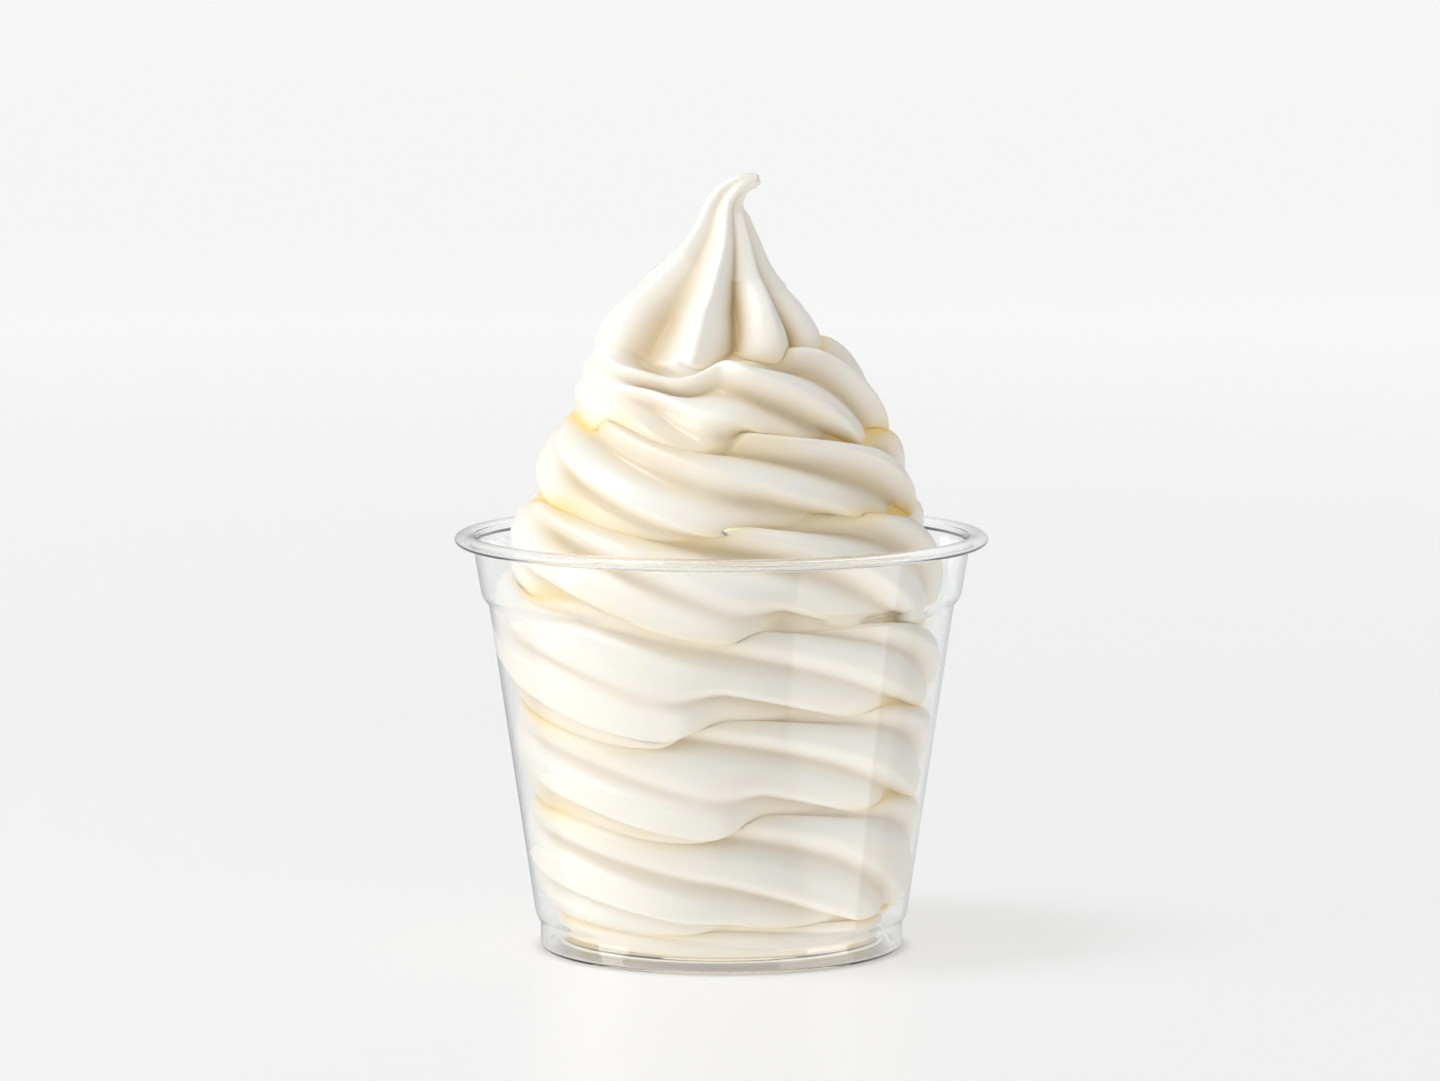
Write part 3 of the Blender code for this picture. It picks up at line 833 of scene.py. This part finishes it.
def build_cream():
    material, tree, output = new_material("vanilla_cream")
    shader = tree.nodes.new("ShaderNodeBsdfPrincipled")
    place = tree.nodes.new("ShaderNodeUVMap")
    place.uv_map = "along_the_rope"
    along_ridges = stretched(tree, place.outputs["UV"], STREAK_PLACE)
    uneven = use_unevenness(tree, along_ridges, 2.0, 7.0, 0.35)
    # painted shade and bounce light, read from the notes on the mesh
    crease = calculate(tree, "MULTIPLY", note(tree, "crease"), CREASE_SHADE_AND_BOUNCE_PAINT)
    pocket = calculate(tree, "MULTIPLY", note(tree, "pocket"), POCKET_BOUNCE_LIGHT_PAINT)
    # painted glow: emission in the pockets for bounced light
    painted_pocket_glow = calculate(tree, "MULTIPLY", note(tree, "pocket"), POCKET_PAINTED_GLOW)
    colour = mixed(tree, uneven.outputs["Mask"], CREAM, CREAM_STREAK)
    # painted shade in the flutes
    colour = mixed(tree, note(tree, "flute"), colour, FLUTE_PAINTED_SHADE)
    colour = mixed(tree, crease, colour, CREASE_PAINTED_SHADE_AND_BOUNCE)
    # painted golden bounce light in the pockets
    colour = mixed(tree, pocket, colour, POCKET_PAINTED_BOUNCE_LIGHT)
    tree.links.new(colour, shader.inputs["Base Color"])
    shader.inputs["Emission Color"].default_value = POCKET_PAINTED_GLOW_COLOUR
    tree.links.new(painted_pocket_glow, shader.inputs["Emission Strength"])
    shader.inputs["Roughness"].default_value = 0.32
    shader.inputs["IOR"].default_value = 1.42
    shader.inputs["Subsurface Weight"].default_value = 1.0
    shader.inputs["Subsurface Radius"].default_value = SCATTER_COLOUR
    shader.inputs["Subsurface Scale"].default_value = SCATTER_DEPTH * MM
    add_bump(tree, shader, uneven.outputs["Height"], 0.25, 0.25 * MM)
    tree.links.new(shader.outputs["BSDF"], output.inputs["Surface"])
    return material


swirl.data.materials.append(build_cream())
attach(swirl, "root")
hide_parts("soft_serve")
print("cream laid on", swirl.name)

# %% [markdown]
# ## Clear plastic
# The sheet is clear, thin and glossy. It is a Principled shader with full transmission,
# and with the refraction of PET. Plain glass would throw a black shadow on the cream
# behind it, and would count the light that the cream takes up twice, so both kinds of
# ray see a transparent shader instead. A faint ripple, drawn out down the wall, is
# what is left from stretching the hot sheet over its mould.

# %% Plastic material
PLASTIC_TINT = (0.985, 0.99, 0.99, 1.0)
PLASTIC_SHADOW = (0.97, 0.97, 0.97, 1.0)
PLASTIC_IOR = 1.57
PLASTIC_ROUGHNESS = (0.005, 0.03)
DRAWN_DOWN_THE_WALL = (1.0, 1.0, 0.35)


def build_plastic():
    material, tree, output = new_material("clear_plastic")
    shader = tree.nodes.new("ShaderNodeBsdfPrincipled")
    place = tree.nodes.new("ShaderNodeTexCoord").outputs["Object"]
    drawn = stretched(tree, place, DRAWN_DOWN_THE_WALL)
    uneven = use_unevenness(tree, drawn, 40.0, 120.0, 0.05)
    add_bump(tree, shader, uneven.outputs["Height"], 0.015, 0.1 * MM)
    rough = ramp(tree, uneven.outputs["Mask"], 0.0, 1.0, *PLASTIC_ROUGHNESS, smooth=False)
    tree.links.new(rough, shader.inputs["Roughness"])
    shader.inputs["Base Color"].default_value = PLASTIC_TINT
    shader.inputs["Transmission Weight"].default_value = 1.0
    shader.inputs["IOR"].default_value = PLASTIC_IOR
    clear = tree.nodes.new("ShaderNodeBsdfTransparent")
    clear.inputs["Color"].default_value = PLASTIC_SHADOW
    ray = tree.nodes.new("ShaderNodeLightPath").outputs
    lights_cream = calculate(tree, "MAXIMUM", ray["Is Shadow Ray"], ray["Is Diffuse Ray"])
    shadow_or_body = tree.nodes.new("ShaderNodeMixShader")
    tree.links.new(lights_cream, shadow_or_body.inputs["Fac"])
    tree.links.new(shader.outputs["BSDF"], shadow_or_body.inputs[1])
    tree.links.new(clear.outputs["BSDF"], shadow_or_body.inputs[2])
    tree.links.new(shadow_or_body.outputs["Shader"], output.inputs["Surface"])
    return material


clear_cup.data.materials.append(build_plastic())
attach(clear_cup, "root")
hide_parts("cup")
print("plastic laid on", clear_cup.name)

# %% [markdown]
# ## Floor and backdrop
# The studio has one pale sheet that runs over the table and curves up behind, so no
# line shows where the floor ends. It is a strip of faces swept along that curve. A
# little light of its own keeps it evenly pale, and the rest of it takes the shadow.
# Close to the foot that light fades out, which leaves a soft shadow of contact. What
# the sheet throws on the cream comes from the world, where it can be set by itself.

# %% Pale sweep
PURE_WHITE = (1.0, 1.0, 1.0, 1.0)
# beside the cup, and far behind it
SWEEP_OWN_LIGHT = (0.53, 0.73)
SWEEP_TAKES = (0.355, 0.36, 0.37, 1.0)
# how far behind the cup that light starts and stops rising, in metres
BRIGHTENS_BEHIND = (0.3, 2.4)
# how far out from the foot's edge it is still nothing, and is full again, in millimetres
CONTACT_SHADOW = (-4, 3)


def build_sweep():
    half_width, front, back, bend, top = 4.0, -3.0, 1.6, 1.2, 4.0
    curve = np.linspace(0.1, math.pi / 2, 14)
    line = [(front, 0.0), (back, 0.0)]
    line += [(back + bend * math.sin(a), bend - bend * math.cos(a)) for a in curve]
    line += [(back + bend, top)]
    corners = [(side * half_width, y, z) for y, z in line for side in (-1, 1)]
    faces = [(2 * i, 2 * i + 1, 2 * i + 3, 2 * i + 2) for i in range(len(line) - 1)]
    sweep = add_piece("pale_sweep", corners, faces)
    material, tree, output = new_material("pale_sweep")
    shader = tree.nodes.new("ShaderNodeBsdfPrincipled")
    shader.inputs["Base Color"].default_value = SWEEP_TAKES
    shader.inputs["Roughness"].default_value = 0.35
    shader.inputs["Specular IOR Level"].default_value = 0.08
    shader.inputs["Emission Color"].default_value = PURE_WHITE
    place = tree.nodes.new("ShaderNodeTexCoord").outputs["Object"]
    axes = tree.nodes.new("ShaderNodeSeparateXYZ")
    tree.links.new(place, axes.inputs[0])
    own_light = ramp(tree, axes.outputs["Y"], *BRIGHTENS_BEHIND, *SWEEP_OWN_LIGHT, smooth=False)
    from_axis = tree.nodes.new("ShaderNodeVectorMath")
    from_axis.operation = "LENGTH"
    tree.links.new(place, from_axis.inputs[0])
    dark_to, light_from = [(FOOT_RADIUS + reach) * MM for reach in CONTACT_SHADOW]
    under_cup = ramp(tree, from_axis.outputs["Value"], dark_to, light_from)
    shaded = calculate(tree, "MULTIPLY", own_light, under_cup)
    tree.links.new(shaded, shader.inputs["Emission Strength"])
    tree.links.new(shader.outputs["BSDF"], output.inputs["Surface"])
    sweep.data.materials.append(material)
    return sweep


sweep = build_sweep()
sweep.visible_diffuse = False
sweep.visible_glossy = False

# %% [markdown]
# ## Light
# The key is a soft box high at the left and a little in front: it whitens what faces up
# and leaves what faces down and right in tan shade. A low box at the left lifts that
# side, a weak one in front keeps the flutes open, and the pale world fills the rest.

# %% Lamps
LAMPS_AIM_AT = Vector((0, 0, 0.08))


def add_panel(name, place, size, power):
    """A soft box, aimed at the swirl, that isn't seen through the plastic."""
    data = bpy.data.lights.new(name, "AREA")
    data.shape = "RECTANGLE"
    data.size, data.size_y = size
    data.energy = power
    panel = bpy.data.objects.new(name, data)
    bpy.context.scene.collection.objects.link(panel)
    panel.location = place
    aim = LAMPS_AIM_AT - Vector(place)
    panel.rotation_euler = aim.to_track_quat("-Z", "Y").to_euler()
    panel.visible_transmission = False
    print(name, "at", place, "with", power, "W")


add_panel("key_from_upper_left", (-0.58, -0.16, 1.34), (0.42, 0.42), 6.8)
add_panel("low_box_at_left", (-1.10, -0.25, 0.24), (0.9, 0.42), 4.2)
add_panel("fill_from_front", (-0.45, -1.1, 0.95), (0.7, 0.5), 1.2)

# %% [markdown]
# ## What the plastic mirrors
# A clear cup is only seen by what it mirrors, so photographers set panels round it.
# Here the world does that: for mirrored rays it holds bright panels at the left and
# right, each a stretch of compass angle and of height, before a greyer back. All other
# rays get a warm pale light, which is strongest from below, as over a white table.

# %% World
AMBIENT = 0.51
AMBIENT_FROM_BELOW = 1.12
BRIGHTER_AT_LEFT = 0.06
AMBIENT_COLOUR = (1.0, 0.972, 0.935, 1.0)
AMBIENT_COLOUR_FROM_BELOW = (1.0, 0.945, 0.86, 1.0)
MIRRORED_FRONT = 1.4
# compass angle from the front, right positive: start, stop, soft edge (degrees), strength,
# and the height of the direction from which and up to which the panel is seen
MIRRORED_PANELS = (
    (-83.0, -66.0, 1.5, 3.0, -0.372, -0.25),
    (38.0, 94.5, 1.5, 1.5, -0.45, -0.25),
    (-85.0, -61.5, 1.0, 4.0, -0.25, 0.0),
    (56.6, 87.9, 1.0, 4.0, -0.25, 0.0),
    (-83.0, -66.0, 1.5, 2.0, 0.0, 1.5),
    (58.0, 94.0, 2.0, 0.9, 0.0, 1.5),
    (115.0, 172.0, 8.0, 0.15, -1.5, 1.5),
)
MIRRORED_BEHIND_FROM = 110.0
MIRRORED_BEHIND = 0.55
SOFT_HEIGHT = 0.012


def build_world():
    world = bpy.data.worlds.new("studio")
    world.use_nodes = True
    tree = world.node_tree
    background = tree.nodes["Background"]

    def step_up(value, edge, soft):
        return ramp(tree, value, edge - soft, edge + soft)

    def between(value, low, high, soft):
        return calculate(tree, "SUBTRACT", step_up(value, low, soft), step_up(value, high, soft))

    direction = tree.nodes.new("ShaderNodeTexCoord").outputs["Generated"]
    axes = tree.nodes.new("ShaderNodeSeparateXYZ")
    tree.links.new(direction, axes.inputs[0])
    to_right, height = axes.outputs["X"], axes.outputs["Z"]
    to_front = calculate(tree, "MULTIPLY", axes.outputs["Y"], -1.0)
    compass = calculate(tree, "ARCTAN2", to_right, to_front)
    degrees = calculate(tree, "MULTIPLY", compass, 180 / math.pi)

    from_front = calculate(tree, "ABSOLUTE", degrees, 0.0)
    behind = step_up(from_front, MIRRORED_BEHIND_FROM, 8.0)
    mirrored = calculate(tree, "MULTIPLY", behind, MIRRORED_BEHIND - MIRRORED_FRONT)
    mirrored = calculate(tree, "ADD", mirrored, MIRRORED_FRONT)
    for start, stop, soft, strength, low, high in MIRRORED_PANELS:
        across = between(degrees, start, stop, soft)
        upright = between(height, low, high, SOFT_HEIGHT)
        panel = calculate(tree, "MULTIPLY", calculate(tree, "MULTIPLY", across, upright), strength)
        mirrored = calculate(tree, "ADD", mirrored, panel)

    above_horizon = step_up(height, -0.05, 0.2)
    ambient = calculate(tree, "MULTIPLY", above_horizon, AMBIENT - AMBIENT_FROM_BELOW)
    ambient = calculate(tree, "ADD", ambient, AMBIENT_FROM_BELOW)
    at_left = calculate(tree, "MULTIPLY", to_right, -BRIGHTER_AT_LEFT)
    ambient = calculate(tree, "MULTIPLY", ambient, calculate(tree, "ADD", at_left, 1.0))
    is_mirrored = tree.nodes.new("ShaderNodeLightPath").outputs["Is Glossy Ray"]
    extra = calculate(tree, "SUBTRACT", mirrored, ambient)
    extra = calculate(tree, "MULTIPLY", extra, is_mirrored)
    brightness = calculate(tree, "ADD", extra, ambient)
    tree.links.new(brightness, background.inputs["Strength"])
    by_height = mixed(tree, above_horizon, AMBIENT_COLOUR_FROM_BELOW, AMBIENT_COLOUR)
    colour = mixed(tree, is_mirrored, by_height, PURE_WHITE)
    tree.links.new(colour, background.inputs["Color"])
    return world


bpy.context.scene.world = build_world()
bpy.context.scene.view_settings.view_transform = "Standard"
print("world ready")
